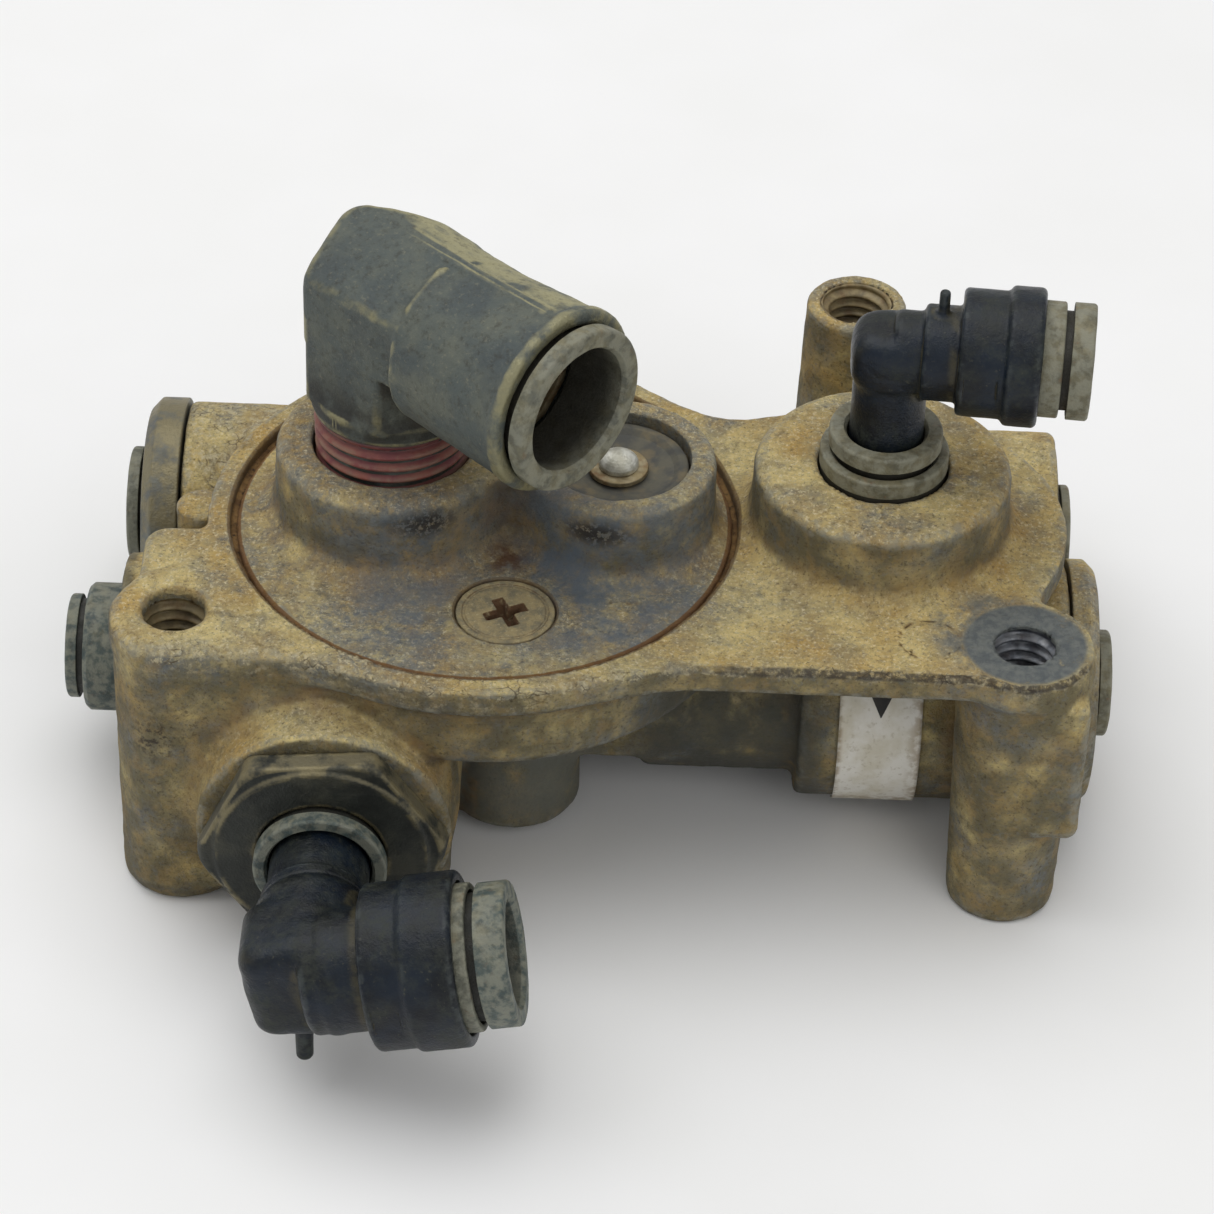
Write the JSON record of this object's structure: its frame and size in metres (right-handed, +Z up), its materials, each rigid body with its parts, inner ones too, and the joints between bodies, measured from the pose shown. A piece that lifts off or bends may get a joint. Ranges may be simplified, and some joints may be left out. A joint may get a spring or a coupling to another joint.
{
  "type": "multiport air brake valve",
  "caption": "Cast aluminium compressed-air brake valve with a round bolted cover, threaded mounting posts, push-to-connect tube ports and swivelling plug-in elbows.",
  "frame": {"origin": "middle of the bounding box in plan, on the surface that the three posts stand on", "axes": "+X along the row of bores, from the single small port to the end cap; +Y from the plug-in elbow on the front towards the free-standing post; +Z up, out of the cover"},
  "size_m": [0.1386, 0.134, 0.0852],
  "materials": {
    "cast_aluminium": "die-cast aluminium under a film of tan road dust, bare and pale along edges",
    "steel_ring": "stainless spring steel, lightly rusted where exposed",
    "seal_rubber": "black nitrile rubber",
    "exhaust_rubber": "grey, dusty moulded rubber",
    "collet_plastic": "khaki grey moulded acetal",
    "black_composite": "black glass-filled nylon with a dust film",
    "brass": "forged brass, tarnished grey-olive, brighter on its edges",
    "spring_steel": "spring wire",
    "zinc_steel": "zinc-plated steel under dust",
    "turned_aluminium": "turned aluminium, dulled grey",
    "label_film": "blank white film label, dirty at its edges"
  },
  "bodies": {
    "body": {"valve_body": "cast_aluminium", "cover_plate": "cast_aluminium", "cover_o_ring": "seal_rubber", "cover_screw_front": "zinc_steel", "cover_screw_back": "zinc_steel", "exhaust_flap": "exhaust_rubber", "exhaust_washer": "steel_ring", "exhaust_rivet": "turned_aluminium", "supply_elbow": "brass", "supply_grab_ring": "steel_ring", "supply_o_ring": "seal_rubber", "dome_sleeve": "collet_plastic", "dome_grab_ring": "steel_ring", "dome_o_ring": "seal_rubber", "front_adapter": "turned_aluminium", "front_grab_ring": "steel_ring", "front_o_ring": "seal_rubber", "left_sleeve": "collet_plastic", "left_grab_ring": "steel_ring", "left_o_ring": "seal_rubber", "shuttle_adapter": "turned_aluminium", "shuttle_left_grab_ring": "steel_ring", "shuttle_left_o_ring": "seal_rubber", "shuttle_right_sleeve": "collet_plastic", "shuttle_right_grab_ring": "steel_ring", "shuttle_right_o_ring": "seal_rubber", "end_cap": "cast_aluminium", "end_grab_ring": "steel_ring", "end_o_ring": "seal_rubber", "relay_spring": "spring_steel", "piston_spring": "spring_steel", "inlet_spring": "spring_steel", "blank_label": "label_film"},
    "service_elbow": {"service_elbow": "black_composite", "service_elbow_sleeve": "collet_plastic", "service_elbow_grab_ring": "steel_ring", "service_elbow_o_ring": "seal_rubber"},
    "delivery_elbow": {"delivery_elbow": "black_composite", "delivery_elbow_sleeve": "collet_plastic", "delivery_elbow_grab_ring": "steel_ring", "delivery_elbow_o_ring": "seal_rubber"},
    "relay_piston": {"relay_piston": "turned_aluminium", "relay_piston_seal": "seal_rubber"},
    "exhaust_valve": {"exhaust_valve": "brass"},
    "stepped_piston": {"stepped_piston": "turned_aluminium", "piston_seal_large": "seal_rubber", "piston_seal_small": "seal_rubber"},
    "check_shuttle": {"check_shuttle": "brass"},
    "inlet_check": {"inlet_check": "brass"},
    "supply_collet": {"supply_collet": "collet_plastic"},
    "service_elbow_collet": {"service_elbow_collet": "collet_plastic"},
    "delivery_elbow_collet": {"delivery_elbow_collet": "collet_plastic"},
    "dome_collet": {"dome_collet": "collet_plastic"},
    "front_collet": {"front_collet": "collet_plastic"},
    "left_collet": {"left_collet": "collet_plastic"},
    "shuttle_left_collet": {"shuttle_left_collet": "collet_plastic"},
    "shuttle_right_collet": {"shuttle_right_collet": "collet_plastic"},
    "end_collet": {"end_collet": "collet_plastic"}
  },
  "joints": [
    {"name": "service_elbow_swivel", "type": "hinge", "parent": "body", "child": "service_elbow", "pos_m": [0.0373, 0.00825, 0.0699], "axis": [0, 0, 1], "continuous": true},
    {"name": "delivery_elbow_swivel", "type": "hinge", "parent": "body", "child": "delivery_elbow", "pos_m": [-0.0327, -0.05605, 0.018], "axis": [0, -1, 0], "continuous": true},
    {"name": "relay_piston_stroke", "type": "slide", "parent": "body", "child": "relay_piston", "axis": [0, 0, 1], "range_m": [0, 0.003], "stiffness_N_per_m": 300, "deforming": ["relay_spring"]},
    {"name": "exhaust_valve_lift", "type": "slide", "parent": "body", "child": "exhaust_valve", "axis": [0, 0, 1], "range_m": [-0.0015, 0], "stiffness_N_per_m": 800},
    {"name": "stepped_piston_stroke", "type": "slide", "parent": "body", "child": "stepped_piston", "axis": [1, 0, 0], "range_m": [0, 0.004], "stiffness_N_per_m": 600, "deforming": ["piston_spring"]},
    {"name": "check_shuttle_travel", "type": "slide", "parent": "body", "child": "check_shuttle", "axis": [1, 0, 0], "range_m": [-0.004, 0.004]},
    {"name": "inlet_check_lift", "type": "slide", "parent": "body", "child": "inlet_check", "axis": [0, 1, 0], "range_m": [0, 0.003], "stiffness_N_per_m": 200, "deforming": ["inlet_spring"]},
    {"name": "supply_collet_press", "type": "slide", "parent": "body", "child": "supply_collet", "axis": [-0.7604, 0.6494, 0], "range_m": [0, 0.0008], "stiffness_N_per_m": 400},
    {"name": "service_elbow_collet_press", "type": "slide", "parent": "service_elbow", "child": "service_elbow_collet", "axis": [-0.9962, 0.0872, 0], "range_m": [0, 0.0008], "stiffness_N_per_m": 400},
    {"name": "delivery_elbow_collet_press", "type": "slide", "parent": "delivery_elbow", "child": "delivery_elbow_collet", "axis": [-0.9816, 0, -0.1908], "range_m": [0, 0.0008], "stiffness_N_per_m": 400},
    {"name": "dome_collet_press", "type": "slide", "parent": "body", "child": "dome_collet", "axis": [0, 0, -1], "range_m": [0, 0.0008], "stiffness_N_per_m": 400},
    {"name": "front_collet_press", "type": "slide", "parent": "body", "child": "front_collet", "axis": [0, 1, 0], "range_m": [0, 0.0008], "stiffness_N_per_m": 400},
    {"name": "left_collet_press", "type": "slide", "parent": "body", "child": "left_collet", "axis": [1, 0, 0], "range_m": [0, 0.0008], "stiffness_N_per_m": 400},
    {"name": "shuttle_left_collet_press", "type": "slide", "parent": "body", "child": "shuttle_left_collet", "axis": [1, 0, 0], "range_m": [0, 0.0008], "stiffness_N_per_m": 400},
    {"name": "shuttle_right_collet_press", "type": "slide", "parent": "body", "child": "shuttle_right_collet", "axis": [-1, 0, 0], "range_m": [0, 0.0008], "stiffness_N_per_m": 400},
    {"name": "end_collet_press", "type": "slide", "parent": "body", "child": "end_collet", "axis": [-1, 0, 0], "range_m": [0, 0.0008], "stiffness_N_per_m": 400}
  ]
}
